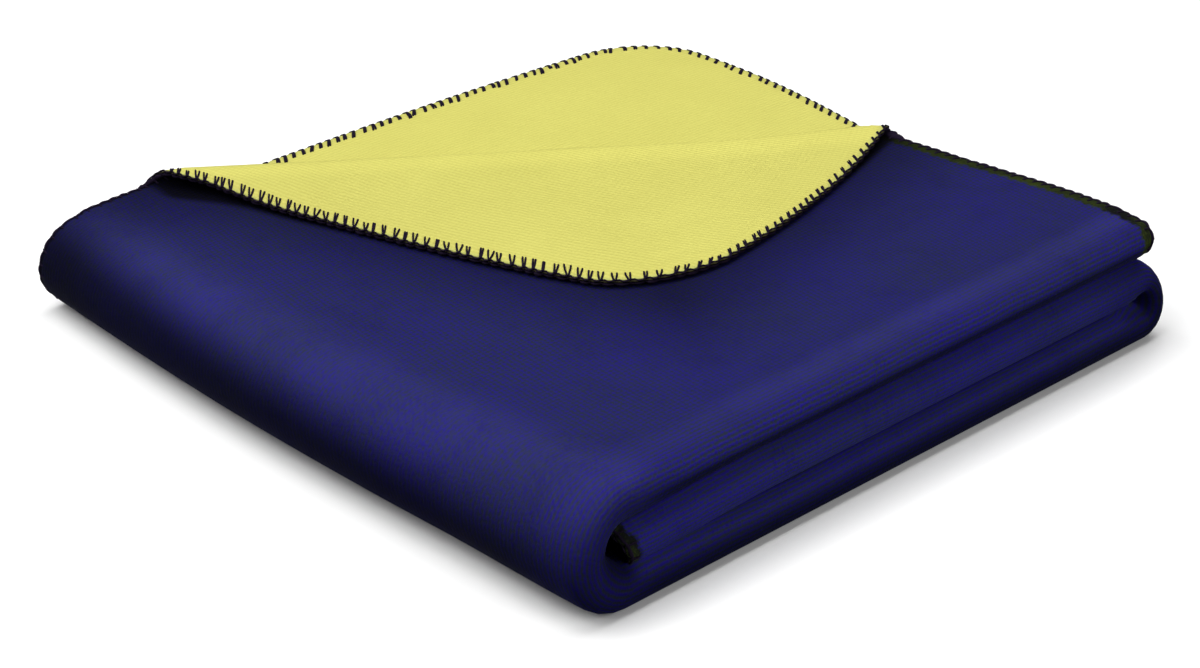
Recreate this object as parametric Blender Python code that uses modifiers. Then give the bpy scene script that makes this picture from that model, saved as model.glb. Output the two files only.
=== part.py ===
"""A double-faced brushed blanket, folded in half across its width and then in three along its length, with the
corner of its top layer turned back. Metres, +Z up, with the origin under the middle of the folded blanket.

The cloth is laid out flat first, with a line wherever it bends, and fold() then carries every flat point to its
place. A flat point has two numbers: along, from the free end of the top run to the end of the middle run, and
across, from the long edge of the outer layer to that of the inner one. The crease of the fold in half is midway.
"""

import math
from dataclasses import dataclass

import bmesh
import bpy
import numpy as np

COLLECTION = "blanket"

# The cloth as cut
WIDTH = 1.402
CORNER_RADIUS = 0.077
THICKNESS = 0.007

# The fold in three, seen from the side with the crease: a run on top, a wide loop at the left, a run on the
# floor, a tight bend at the right, and a middle run that ends inside the loop
TOP_END_X = 0.656
BEND_OUTSIDE_X = 0.667
MIDDLE_END_X = 0.043
BEND_LEAN = 0.014  # of the bend's outside, to the left at its top
LOOP_HALF_WIDTH = 0.035
LOOP_ROUNDING = 0.3  # how much of its extra height at the crease the loop gains in width too
TOP_RUN_HEIGHT = 0.0813
HALF_GAP = 0.0089  # from the middle of a run to the middle of either of its two layers
RUN_CLEARANCE = 0.002  # between the bulges of two runs at the crease
BULGE_LENGTH = 0.16  # over which the bulge at the crease dies away


@dataclass
class Run:
    """The fold in half as one run has it: its radius at the crease, and how far back from the front it lies."""

    crease_radius: float
    set_back: float


TOP = Run(crease_radius=0.0105, set_back=0.000)
BOTTOM = Run(crease_radius=0.0120, set_back=0.002)
MIDDLE = Run(crease_radius=0.0145, set_back=0.001)

# The corner turned back: where its fold line meets the long edge and the end, and how the ridge stands
CORNER_ALONG = 0.550
CORNER_ACROSS = 0.397
RIDGE_RADIUS_SIDE = 0.0080  # at the long edge
RIDGE_RADIUS_END = 0.0059  # and at the end
RIDGE_SWELL = 0.004  # how far the layer rises on its way to the ridge
SWELL_LENGTH = 0.070
FLAP_HEIGHT = 0.0092  # of the flap over the layer that it lies on, once it has settled
FLAP_EASE = 0.110  # over which it settles
END_LEG_BOW = 0.0175  # of its end edge outwards, between the ridge and the tip
SIDE_LEG_BOW = 0.0016  # and of its long edge
TIP_DRIFT = -0.028  # of its tip along the ridge, to the right

# How the folded blanket lies unevenly
LAYER_SLIP = 0.065  # of the top run's inner layer past its outer one, at the long edges
SLIP_START = 0.133  # how far from the crease it starts
SLIP_REACH = 0.446  # and over what distance it grows
END_SKEW = 0.040  # of the top run's end, further out at the long edges
EDGE_SKEW = 0.028  # of the top run's long edges, further back at the left
END_LIFT = 0.003  # of the outer layer's end, and half as much of the inner one's
END_LIFT_LENGTH = 0.16
END_LIFT_START = 0.05  # over which it grows from the crease
LOOP_BOW = 0.0127  # of the loop's side outwards at its middle
LOOP_BOW_REACH = 0.35
FRONT_PULL = 0.004  # of the loop's side outwards at the front corner
FRONT_PULL_REACH = 0.25  # as a share of the way to the back
BACK_TUCK = 0.006  # of its top inwards at the back
FRONT_WEDGE = 0.278  # how much taller the front is than the back, as a share of the height
RIGHT_WEDGE = 0.053  # how much taller the right is than the left

# The yarn that runs along the edge
EDGING_RADIUS = 0.0025
PIECE_GAP = 0.0008
EDGING_STEP = 0.030  # between its points where the edge is straight
EDGING_LOOP_STEP = 0.008
EDGING_BEND_STEP = 0.006
EDGING_TIGHT_STEP = 0.004  # at the ridge and the crease
EDGING_RIDGE_REACH = 4.6  # ridge radii, past the fold line
EDGING_CREASE_REACH = 0.024

# How finely the cloth is divided
LOOP_STEPS = 16
BEND_STEPS = 10
RIDGE_STEPS = 8
CORNER_STEPS = 8
CREASE_STEPS = 6
LONGEST_CELL = 0.075
BULGE_LINES = (0.12, 0.3, 0.5, 0.7, 1.0)  # as shares of the bulge's length
SWELL_LINES = (1.0, 0.66, 0.33)
FLAP_LINES = (0.25, 0.5, 0.75, 1.0)
SNAP = 0.0008

# Sizes worked out from the above
HALF_THICKNESS = THICKNESS / 2
HALF_WIDTH = WIDTH / 2
BOTTOM_RUN_HEIGHT = HALF_THICKNESS + HALF_GAP
MIDDLE_RUN_HEIGHT = (BOTTOM_RUN_HEIGHT + TOP_RUN_HEIGHT) / 2
LOOP_HALF_HEIGHT = (TOP_RUN_HEIGHT - BOTTOM_RUN_HEIGHT) / 2
BEND_RADIUS = (MIDDLE_RUN_HEIGHT - BOTTOM_RUN_HEIGHT) / 2
BEND_X = BEND_OUTSIDE_X - BEND_RADIUS - HALF_GAP - HALF_THICKNESS + BEND_LEAN / 2
BEND_SLANT = BEND_LEAN / (2 * (BEND_RADIUS + HALF_GAP))

LOOP_START = TOP_END_X - LOOP_HALF_WIDTH
LOOP_END = LOOP_START + math.pi * (LOOP_HALF_WIDTH + LOOP_HALF_HEIGHT) / 2
BEND_START = LOOP_END + BEND_X - LOOP_HALF_WIDTH
BEND_END = BEND_START + math.pi * BEND_RADIUS
LENGTH = BEND_END + BEND_X - 2 * BEND_SLANT * BEND_RADIUS - MIDDLE_END_X

CREASE_BOTTOM_HEIGHT = HALF_THICKNESS + BOTTOM.crease_radius
CREASE_MIDDLE_HEIGHT = (
    CREASE_BOTTOM_HEIGHT + BOTTOM.crease_radius + THICKNESS + RUN_CLEARANCE + MIDDLE.crease_radius
)
CREASE_TOP_HEIGHT = (
    CREASE_MIDDLE_HEIGHT + MIDDLE.crease_radius + THICKNESS + RUN_CLEARANCE + TOP.crease_radius
)

# The fold line of the turned-back corner: its unit normal in the flat, and its distance from the corner
CORNER_NORMAL = np.array([1 / CORNER_ALONG, 1 / CORNER_ACROSS])
CORNER_DEPTH = 1 / np.hypot(*CORNER_NORMAL)
CORNER_NORMAL = CORNER_NORMAL * CORNER_DEPTH
RIDGE_SPAN = np.hypot(CORNER_ALONG, CORNER_ACROSS)


def ease(t):
    """0 up to t = 0 and 1 from t = 1, with a smooth step between."""
    t = np.clip(t, 0, 1)
    return t * t * (3 - 2 * t)


def mix(first, second, share):
    return first + (second - first) * share


def run_value(along, top, bottom, middle):
    """A value that each run has, carried smoothly round the loop and the bend from one run to the next."""
    to_bottom = ease((along - LOOP_START) / (LOOP_END - LOOP_START))
    to_middle = ease((along - BEND_START) / (BEND_END - BEND_START))
    return mix(mix(top, bottom, to_bottom), middle, to_middle)


def ridge_radius(along, across):
    """The radius of the ridge level with a flat point: it narrows from the long edge to the end."""
    level = ((CORNER_ALONG - along) * CORNER_NORMAL[1] + across * CORNER_NORMAL[0]) / RIDGE_SPAN
    return mix(RIDGE_RADIUS_SIDE, RIDGE_RADIUS_END, np.clip(level, 0, 1))


def corner_fold(along, across):
    """Turn the corner back: flat points past the fold line go round a half circle and come back over the layer.

    Gives the flat place that each point then lies over, and its height above the layer there."""
    past = CORNER_DEPTH - along * CORNER_NORMAL[0] - across * CORNER_NORMAL[1]
    radius = ridge_radius(along, across)
    back = past - math.pi * radius
    share = np.clip(past / CORNER_DEPTH, 0, 1)
    bow = 4 * (END_LEG_BOW * across / CORNER_ACROSS - SIDE_LEG_BOW * along / CORNER_ALONG)
    slide = share * (bow + TIP_DRIFT)
    angle = np.clip(past / radius, 0, math.pi)
    reach = np.where(past <= 0, past, np.where(back < 0, radius * np.sin(angle), -back))
    over_swell = np.where(past <= 0, past, np.where(back < 0, 0, -back))
    swell = RIDGE_SWELL * ease(1 + over_swell / SWELL_LENGTH)
    round_ridge = radius * (1 - np.cos(angle))
    settled = mix(2 * radius, FLAP_HEIGHT, ease(back / FLAP_EASE))
    height = swell + np.where(back < 0, round_ridge, settled)
    outer_layer = (across < HALF_WIDTH) & (along < LOOP_START)
    shift = np.where(outer_layer, past - reach, 0)
    return (
        along + shift * CORNER_NORMAL[0] - slide * CORNER_NORMAL[1],
        across + shift * CORNER_NORMAL[1] + slide * CORNER_NORMAL[0],
        np.where(outer_layer, height, 0),
    )


def crease_section(along, from_crease):
    """The fold in half, cut square to the crease: a half circle there, then two layers that draw together.

    Gives y, the offset of either layer from the middle of its run, and nearness, 1 at the crease and 0 beyond."""
    radius = run_value(along, TOP.crease_radius, BOTTOM.crease_radius, MIDDLE.crease_radius)
    set_back = run_value(along, TOP.set_back, BOTTOM.set_back, MIDDLE.set_back)
    quarter = math.pi * radius / 2
    straight = np.maximum(from_crease - quarter, 0)
    angle = np.minimum(from_crease / radius, math.pi / 2)
    nearness = (1 + np.cos(math.pi * np.minimum(straight / BULGE_LENGTH, 1))) / 2
    y = set_back + radius * (1 - np.cos(angle)) + straight
    offset = np.where(straight > 0, mix(HALF_GAP, radius, nearness), radius * np.sin(angle))
    return y, offset, nearness


def run_place(along, nearness, rise):
    """The place in the plane of x and z of a point that stands by rise from the middle of its run.

    The middle goes left on top, down round half an ellipse, right along the floor, up round a half circle and
    left. A positive rise is away from the stack. The bend leans back by the same share at every rise."""
    bottom = mix(BOTTOM_RUN_HEIGHT, CREASE_BOTTOM_HEIGHT, nearness)
    middle = mix(MIDDLE_RUN_HEIGHT, CREASE_MIDDLE_HEIGHT, nearness)
    top = mix(TOP_RUN_HEIGHT, CREASE_TOP_HEIGHT, nearness)
    half_height = (top - bottom) / 2
    half_width = LOOP_HALF_WIDTH + LOOP_ROUNDING * (half_height - LOOP_HALF_HEIGHT)
    bend_radius = (middle - bottom) / 2
    loop = np.clip((along - LOOP_START) / (LOOP_END - LOOP_START), 0, 1) * math.pi
    bend = np.clip((along - BEND_START) / (BEND_END - BEND_START), 0, 1) * math.pi
    steps = [along <= LOOP_START, along <= LOOP_END, along <= BEND_START, along <= BEND_END]
    x = np.select(
        steps,
        [
            TOP_END_X - along,
            LOOP_HALF_WIDTH - half_width * np.sin(loop),
            LOOP_HALF_WIDTH + along - LOOP_END,
            BEND_X + bend_radius * np.sin(bend),
        ],
        BEND_X - (along - BEND_END),
    )
    z = np.select(
        steps,
        [
            top,
            (top + bottom) / 2 + half_height * np.cos(loop),
            bottom,
            (bottom + middle) / 2 - bend_radius * np.cos(bend),
        ],
        middle,
    )
    across_loop = -half_height * np.sin(loop)
    up_loop = half_width * np.cos(loop)
    size = np.hypot(across_loop, up_loop)
    normal_x = np.select(steps, [0 * x, across_loop / size, 0 * x, np.sin(bend)], 0)
    normal_z = np.select(steps, [1 + 0 * x, up_loop / size, -1 + 0 * x, -np.cos(bend)], 1)
    lean = BEND_SLANT * (bend_radius + rise) * (1 - np.cos(bend))
    return x + normal_x * rise - lean, z + normal_z * rise


def lie_unevenly(x, y, z, along, side, from_crease):
    """Shift the neat folds to where they lie: layers slipped and skewed, the loop bowed, the front taller."""
    on_top = ease(1 - along / LOOP_START)
    far = y / HALF_WIDTH
    x = x - side * LAYER_SLIP / 2 * ease((from_crease - SLIP_START) / SLIP_REACH) * on_top
    x = x + END_SKEW * on_top * (far - 0.5)
    y = y - EDGE_SKEW * on_top * ease(far) * (x / TOP_END_X - 0.5)
    lift = np.maximum(1 - along / END_LIFT_LENGTH, 0) ** 2 * ease(from_crease / END_LIFT_START)
    z = z + END_LIFT * lift * np.where(side > 0, 1, 0.5)
    far = y / HALF_WIDTH
    bow = LOOP_BOW * np.sin(math.pi * np.clip(far, 0, 1))
    by_loop = 1 - ease(x / LOOP_BOW_REACH)
    pull = FRONT_PULL * (1 - ease(far / FRONT_PULL_REACH)) - BACK_TUCK * ease(2 * far - 1) * z / TOP_RUN_HEIGHT
    taller = 1 - FRONT_WEDGE * (far - 0.5) + RIGHT_WEDGE * (x / BEND_OUTSIDE_X - 0.5)
    return x - (bow + pull) * by_loop, y, HALF_THICKNESS + (z - HALF_THICKNESS) * taller


def fold(flat):
    """Carry flat points, a row each of along and across, to their places on the folded blanket."""
    along, across, height = corner_fold(flat[:, 0], flat[:, 1])
    side = np.where(across < HALF_WIDTH, 1, -1)
    from_crease = np.abs(across - HALF_WIDTH)
    y, offset, nearness = crease_section(along, from_crease)
    x, z = run_place(along, nearness, side * offset)
    x, y, z = lie_unevenly(x, y, z, along, side, from_crease)
    return np.stack([x, y, z + height], axis=1)


def even_steps(stops, longest):
    """Every stop, with the stretches between them cut into equal lengths no longer than longest."""
    values = [stops[0]]
    for low, high in zip(stops, stops[1:]):
        count = max(1, math.ceil((high - low) / longest - 1e-9))
        values += [low + (high - low) * step / count for step in range(1, count + 1)]
    return values


def lines_along():
    """Where the flat cloth is divided across its length: evenly, and closer in the loop and the bend."""
    loop = np.linspace(LOOP_START, LOOP_END, LOOP_STEPS + 1).tolist()
    bend = np.linspace(BEND_START, BEND_END, BEND_STEPS + 1).tolist()
    return even_steps([0.0, *loop, *bend, LENGTH], LONGEST_CELL)[1:-1]


def lines_across():
    """Where it is divided across its width: closer at the crease, and coarser over the rest."""
    quarter = math.pi * BOTTOM.crease_radius / 2
    rounded = np.linspace(0, quarter, CREASE_STEPS + 1).tolist()
    easing = [quarter + BULGE_LENGTH * share for share in BULGE_LINES]
    one_side = even_steps([*rounded, *easing, HALF_WIDTH], LONGEST_CELL)[:-1]
    return [HALF_WIDTH + sign * value for value in one_side for sign in (-1, 1)]


def ridge_lines():
    """The lines that divide the cloth along the ridge of the turned-back corner: how far past the fold line each
    one is at the long edge, and at the end."""
    swell = [(-SWELL_LENGTH * share,) * 2 for share in SWELL_LINES]
    angles = np.linspace(0, math.pi, RIDGE_STEPS + 1).tolist()
    ridge = [(RIDGE_RADIUS_SIDE * angle, RIDGE_RADIUS_END * angle) for angle in angles]
    low_side, low_end = ridge[-1]
    settling = [(low_side + FLAP_EASE * share, low_end + FLAP_EASE * share) for share in FLAP_LINES]
    return swell + ridge + settling


def cut(bm, faces, point, normal):
    """Divide the given faces along a line in the flat, without parting them."""
    edges = {edge for face in faces for edge in face.edges}
    verts = {vert for face in faces for vert in face.verts}
    bmesh.ops.bisect_plane(
        bm,
        geom=[*faces, *edges, *verts],
        dist=SNAP,
        plane_co=(point[0], point[1], 0),
        plane_no=(normal[0], normal[1], 0),
    )


def flat_cloth():
    """The cloth as cut, flat, with its rounded corners and a line wherever it will bend."""
    bm = bmesh.new()
    bmesh.ops.create_grid(bm, x_segments=1, y_segments=1, size=0.5)
    bmesh.ops.scale(bm, vec=(LENGTH, WIDTH, 1), verts=bm.verts)
    bmesh.ops.translate(bm, vec=(LENGTH / 2, HALF_WIDTH, 0), verts=bm.verts)
    bmesh.ops.bevel(
        bm,
        geom=bm.verts[:],
        offset=CORNER_RADIUS,
        segments=CORNER_STEPS,
        profile=0.5,
        affect="VERTICES",
    )
    for along in lines_along():
        cut(bm, bm.faces[:], (along, 0), (1, 0))
    for across in lines_across():
        cut(bm, bm.faces[:], (0, across), (0, 1))
    for past_side, past_end in ridge_lines():
        near = [
            face
            for face in bm.faces
            if face.calc_center_median().y < HALF_WIDTH - BULGE_LENGTH / 4
            and face.calc_center_median().x < LOOP_START
        ]
        side = np.array([CORNER_ALONG, 0]) - CORNER_NORMAL * past_side
        end = np.array([0, CORNER_ACROSS]) - CORNER_NORMAL * past_end
        cut(bm, near, side, (side[1] - end[1], end[0] - side[0]))
    bmesh.ops.triangulate(bm, faces=bm.faces[:])
    return bm


def edge_route():
    """The middle line of the edging in the flat: the outline of the cloth, a little outside it, point by point."""
    out = PIECE_GAP + EDGING_RADIUS
    radius = CORNER_RADIUS + out
    close = [LOOP_START, LOOP_END, BEND_START, BEND_END]
    along = even_steps([CORNER_RADIUS, close[0]], EDGING_STEP)
    along += even_steps(close[:2], EDGING_LOOP_STEP)[1:]
    along += even_steps(close[1:3], EDGING_STEP)[1:]
    along += even_steps(close[2:], EDGING_BEND_STEP)[1:]
    along += even_steps([close[3], LENGTH - CORNER_RADIUS], EDGING_STEP)[1:]
    ridge = (CORNER_ALONG - RIDGE_RADIUS_SIDE * EDGING_RIDGE_REACH, CORNER_ALONG)
    along = [value for value in along if not ridge[0] < value < ridge[1]]
    along = sorted(along + even_steps(ridge, EDGING_TIGHT_STEP))
    near = EDGING_CREASE_REACH
    across = even_steps([CORNER_RADIUS, HALF_WIDTH - near], EDGING_STEP)
    across += even_steps([HALF_WIDTH - near, HALF_WIDTH + near], EDGING_TIGHT_STEP)[1:]
    across += even_steps([HALF_WIDTH + near, WIDTH - CORNER_RADIUS], EDGING_STEP)[1:]
    ridge = (CORNER_ACROSS - RIDGE_RADIUS_END * EDGING_RIDGE_REACH, CORNER_ACROSS)
    first = [value for value in across if not ridge[0] < value < ridge[1]]
    first = sorted(first + even_steps(ridge, EDGING_TIGHT_STEP))

    def corner(centre, start):
        angles = [start + math.pi / 2 * step / CORNER_STEPS for step in range(1, CORNER_STEPS)]
        return [(centre[0] + radius * math.cos(a), centre[1] + radius * math.sin(a)) for a in angles]

    low, high = CORNER_RADIUS, WIDTH - CORNER_RADIUS
    end = LENGTH - CORNER_RADIUS
    route = [(value, -out) for value in along]
    route += corner((end, low), -math.pi / 2)
    route += [(LENGTH + out, value) for value in across]
    route += corner((end, high), 0)
    route += [(value, WIDTH + out) for value in reversed(along)]
    route += corner((low, high), math.pi / 2)
    route += [(-out, value) for value in reversed(first)]
    route += corner((low, low), math.pi)
    return np.array(route)


def fabric(name, colour, roughness):
    """A plain cloth material."""
    material = bpy.data.materials.new(name)
    material.use_nodes = True
    shader = material.node_tree.nodes["Principled BSDF"]
    shader.inputs["Base Color"].default_value = (*colour, 1)
    shader.inputs["Roughness"].default_value = roughness
    shader.inputs["Metallic"].default_value = 0
    return material


def make_cloth(collection):
    """The cloth: flat, folded, and then thickened to both sides of its middle surface."""
    bm = flat_cloth()
    flat = np.array([(vert.co.x, vert.co.y) for vert in bm.verts])
    for vert, place in zip(bm.verts, fold(flat)):
        vert.co = place
    mesh = bpy.data.meshes.new("cloth")
    bm.to_mesh(mesh)
    bm.free()
    mesh.shade_smooth()
    cloth = bpy.data.objects.new("cloth", mesh)
    collection.objects.link(cloth)
    mesh.materials.append(fabric("navy face", (0.020, 0.018, 0.115), 0.95))
    mesh.materials.append(fabric("yellow face", (0.740, 0.680, 0.150), 0.95))
    wall = cloth.modifiers.new("thickness", "SOLIDIFY")
    wall.thickness = THICKNESS
    wall.offset = 0
    wall.material_offset = 1
    return cloth


def make_edging(collection):
    """The yarn along the edge: a closed curve round the outline of the folded cloth."""
    curve = bpy.data.curves.new("edging", "CURVE")
    curve.dimensions = "3D"
    curve.bevel_depth = EDGING_RADIUS
    curve.bevel_resolution = 1
    places = fold(edge_route())
    spline = curve.splines.new("POLY")
    spline.points.add(len(places) - 1)
    spline.points.foreach_set("co", np.column_stack([places, np.ones(len(places))]).ravel())
    spline.use_cyclic_u = True
    spline.use_smooth = True
    curve.materials.append(fabric("dark yarn", (0.012, 0.009, 0.022), 0.9))
    edging = bpy.data.objects.new("edging", curve)
    collection.objects.link(edging)
    return edging


def stand_on_origin(pieces):
    """Move the pieces together so that the origin is under the middle of their box."""
    graph = bpy.context.evaluated_depsgraph_get()
    corners = []
    for piece in pieces:
        evaluated = piece.evaluated_get(graph)
        mesh = evaluated.to_mesh()
        points = np.empty(len(mesh.vertices) * 3, np.float32)
        mesh.vertices.foreach_get("co", points)
        corners.append(points.reshape(-1, 3))
        evaluated.to_mesh_clear()
    points = np.concatenate(corners)
    middle = (points.min(axis=0) + points.max(axis=0)) / 2
    for piece in pieces:
        piece.location = (-float(middle[0]), -float(middle[1]), 0)


def main():
    for leftover in list(bpy.data.objects):
        bpy.data.objects.remove(leftover, do_unlink=True)
    collection = bpy.data.collections.new(COLLECTION)
    bpy.context.scene.collection.children.link(collection)
    stand_on_origin([make_cloth(collection), make_edging(collection)])


main()
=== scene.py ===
"""A double-faced brushed blanket, navy outside and yellow inside, folded in half and then in three, with the
corner of its top layer turned back and a dark yarn worked round its edge. Metres, +Z up.

The cloth is one closed surface. Every point of it has a flat place, along and across the cloth as it was cut,
and a lift from the middle of its thickness. fold() carries flat places to where the folded blanket has them.
"""

import math
import bpy
import numpy as np
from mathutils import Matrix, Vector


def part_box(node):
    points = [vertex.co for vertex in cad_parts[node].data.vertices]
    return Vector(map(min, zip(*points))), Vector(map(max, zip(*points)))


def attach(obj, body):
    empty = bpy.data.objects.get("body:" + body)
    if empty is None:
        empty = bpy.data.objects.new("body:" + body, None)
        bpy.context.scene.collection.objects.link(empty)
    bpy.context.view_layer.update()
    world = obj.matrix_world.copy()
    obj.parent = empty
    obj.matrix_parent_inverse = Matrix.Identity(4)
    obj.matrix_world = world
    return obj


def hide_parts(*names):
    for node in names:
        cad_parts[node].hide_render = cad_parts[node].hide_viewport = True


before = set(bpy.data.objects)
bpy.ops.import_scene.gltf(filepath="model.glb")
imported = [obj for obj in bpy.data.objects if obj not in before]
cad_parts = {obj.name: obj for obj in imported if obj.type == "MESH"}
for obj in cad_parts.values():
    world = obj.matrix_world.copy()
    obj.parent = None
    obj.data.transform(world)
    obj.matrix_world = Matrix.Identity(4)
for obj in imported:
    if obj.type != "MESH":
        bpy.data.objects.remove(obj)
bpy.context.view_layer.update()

# The cloth as cut
WIDTH = 1.402
CORNER_RADIUS = 0.077
THICKNESS = 0.007

# The fold in three: a run on top, a wide loop at the left, a run on the floor, a tight bend at the right, and
# a middle run that ends inside the loop
TOP_END_X = 0.656
BEND_OUTSIDE_X = 0.667
MIDDLE_END_X = 0.040
BEND_LEAN = 0.014  # how far the bend leans back at its top
LOOP_HALF_WIDTH = 0.035
LOOP_ROUNDING = 0.3  # how much wider the loop is for each bit that it is taller at the crease
TOP_RUN_HEIGHT = 0.0813
HALF_GAP = 0.0089
RUN_CLEARANCE = 0.002
BULGE_LENGTH = 0.16  # over so far back from the crease, the two layers of a run draw together

# The fold in half, for the top, bottom and middle runs: its radius, and how far back from the front it lies
CREASE_RADII = (0.0105, 0.0120, 0.0145)
SET_BACKS = (0.000, -0.0008, 0.001)

# Where the crease goes round the tight bend, its inner half is tucked in
BEND_TUCK = 0.024
TUCK_LEAD = 0.045  # so far before the bend it starts, and over so long a stretch it comes in
TUCK_BEFORE = 0.060
TUCK_LAG = 0.018  # so far past the bend it ends, and over so long a stretch it goes out
TUCK_AFTER = 0.030
TUCK_REACH = 0.060  # so far back from the crease it fades out

# By the crease, the cloth swells into the loop's mouth, and the end of the middle run sags
MOUTH_SWELL = 0.0043
LOW_SWELL = 0.0045  # how much more it swells in the loop's lower half
MIDDLE_SAG = 0.0044
MOUTH_LENGTH = 0.15

# The corner turned back: where its fold line crosses the two edges, and the ridge's radius there
CORNER_ALONG = 0.562
CORNER_ACROSS = 0.397
RIDGE_RADIUS_SIDE = 0.0090
RIDGE_RADIUS_END = 0.0059
RIDGE_DIP = 0.0012  # how much smaller the radius is on one stretch, and where that is along the ridge
DIP_PLACE = 0.78
DIP_REACH = 0.13
RIDGE_SWELL = 0.004  # how much higher the ridge is at the long edge
SWELL_LENGTH = 0.070
FLAP_HEIGHT = 0.0092  # the height that the flap settles to, and how far from the ridge it does
FLAP_EASE = 0.085
END_LEG_BOW = 0.0208
SIDE_LEG_BOW = 0.0016
TIP_DRIFT = -0.028
SIDE_LEG_WAVE = 0.14  # how strongly its long edge waves: out near the tip, in near the ridge
WAVE_TURN = 0.45  # where along it the wave goes from out to in
WAVE_EASE = 0.034
END_LEG_DRAW = 0.004  # how far its end edge is drawn in near the tip
DRAW_POWER = 5
DRAW_PEAK = 15  # it brings the largest value of u * (1 - u) ** DRAW_POWER to about 1
TIP_EASE = 0.028  # the share of the flap's reach that is lost at its tip, as it arches a little

# How the folded blanket lies unevenly
LAYER_SLIP = 0.065  # how far the top run's upper layer has slipped along the lower one by the back
SLIP_START = 0.133
SLIP_REACH = 0.446
END_SKEW = 0.040  # how far the top run's end and its long edge are out of square
EDGE_SKEW = 0.028
END_LIFT = 0.003
END_LIFT_LENGTH = 0.16
END_LIFT_START = 0.05
LOOP_BOW = 0.0127  # how far the loop bows out at its middle
LOOP_BOW_REACH = 0.35
FRONT_PULL = 0.004
FRONT_PULL_REACH = 0.25
BACK_TUCK = 0.006
INNER_EDGE_BOW = 0.0065  # how far the second layer's long edge bows out beside its corner, and its end edge
INNER_END_BOW = 0.0055
INNER_BOW_ALONG = 0.50
INNER_BOW_ACROSS = 0.33
OUTER_END_BOW = 0.006  # how far the top layer's end edge bows out between its corner and the crease
OUTER_BOW_LENGTH = 0.24
FRONT_WEDGE = 0.278  # the share by which the front is taller than the back, and the right than the left
RIGHT_WEDGE = 0.053

# The edge and its stitches
LONG_PITCH = 0.0107  # how far apart the stitches are along the long edge
END_PITCH = 0.0108  # along the end edge, and on its stretch beside the ridge
RIDGE_PITCH = 0.0150
RIDGE_STRETCH = (0.20, 0.27, 0.37, 0.41)  # where the change to it starts and ends, and that back again
INNER_LONG_PITCH = 0.00935  # along the second layer's long edge, and its end edge
INNER_END_PITCH = 0.0127
UNEVEN_PITCH = 0.10  # how unevenly they are spaced, as a share of the pitch
EDGE_OUT = 0.0042  # how far the stitched edge swells past the cut
EDGE_HALF = 0.0018  # half the thickness of the edge, which the stitches press flat
TAPER = 0.014  # how far in from the edge the cloth is thinner
EDGE_ROUNDING = 0.0022  # how far in from the edge the cloth starts to round off
EDGE_PINCH = 0.30  # how much thinner the edge is at a stitch
PINCH_DEPTH = 0.009
EDGE_DEPTHS = (0.0105, 0.0070, 0.0042, EDGE_ROUNDING, 0.3 * EDGE_ROUNDING, 0.0)  # those of its fine rows
SCALLOP = 0.0017  # how far the edge stands out between two stitches, and by what share of it on each edge
LONG_SCALLOP = 0.6
END_SCALLOP = 1.5
INNER_SCALLOP = 1.3
CHAIN_DEPTH = 0.0024  # how far in from the edge the middle of the chain lies
CHAIN_LIFT = 0.0022
CHAIN_HALF_WIDTH = 0.0027
CHAIN_HALF_HEIGHT = 0.0015
CHAIN_SWING = 0.0009  # how much further out it lies between two stitches
CHAIN_WAIST = 0.55  # its size at a stitch, as a share of that between two
CHAIN_UNEVEN = 0.10
CHAIN_STATIONS = 6  # from a stitch to the next
CHAIN_SIDES = 8
CHAIN_SLIM = 0.58  # its size beyond the turned corner, as a share of that on it
SLIM_REACH = 0.02
KNOB_SWELL = 1.6  # how much thicker it bunches up where the end edge goes over the ridge
KNOB_PLACE = 0.003
KNOB_REACH = 0.009
STRAND_RADIUS = 0.00095
INNER_STRAND_RADIUS = 0.00112
LINK_SLIMNESS = 0.00070 / STRAND_RADIUS  # a link's radius as a share of its strands'
LINK_STATIONS = 7
STRAND_SHARES = np.array([-0.05, 0.03, 0.14, 0.34, 0.60, 0.85, 1.0])  # its stations, as shares of its depth
STRAND_PROUD = np.array([0.6, 0.7, 0.7, 0.8, 0.8, 0.5, -1.4])  # how far off the cloth it runs there, in radii
STRAND_TAPER = np.array([0.9, 1, 1, 1, 1, 0.95, 0.7])  # how thick it is there
STITCH_DEPTH = 0.0120  # how far in a stitch goes on the top layer's long edge, and on its end edge
END_STITCH_DEPTH = 0.0062
INNER_STITCH_DEPTH = 0.0160  # and on the second layer's
INNER_END_STITCH_DEPTH = 0.0115
NAVY_STITCH_DEPTH = 0.0085
STITCH_SLANT = 0.70  # how far it slants along the edge for each bit of depth, in the same order
END_STITCH_SLANT = -1.1
INNER_STITCH_SLANT = -0.60
INNER_END_STITCH_SLANT = 0.90
STITCH_SPREAD = 0.0020
LEAST_SHOWN = 0.3  # the share of its depth that is left beyond the turned corner
SHOWN_START = 0.015  # so far past the fold line it starts to grow, and over these lengths it does
SHOWN_LENGTH = 0.045
SHOWN_END_LENGTH = 0.100
LEAST_INWARDS = 0.0004  # a strand lies at least as far out as the cloth's face does this far in

# How finely the cloth is divided
CORNER_LINES = 46
CROWDING = 0.7  # how much closer the lines lie at the ridge
CROWDED_LEVEL = 0.96
CROWDED_WIDTH = 0.15
EDGE_STATIONS = 5  # of the fine edge to each line of the cloth

# The room
FLOOR_HALF_WIDTH = 12.0
FLOOR_WHITE = (0.88, 0.88, 0.88, 1)
LIGHT_DISTANCE = 3.0
LIGHT_SIZE = 1.9
WORLD_STRENGTH = 0.02
CAMERA_SENSOR = 36.0
CAMERA_LENS = 83.75
CAMERA_PLACE = (-1.1456, -1.2197, 1.1127)
CAMERA_TILT = 62.43
CAMERA_TURN = -43.31

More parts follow.
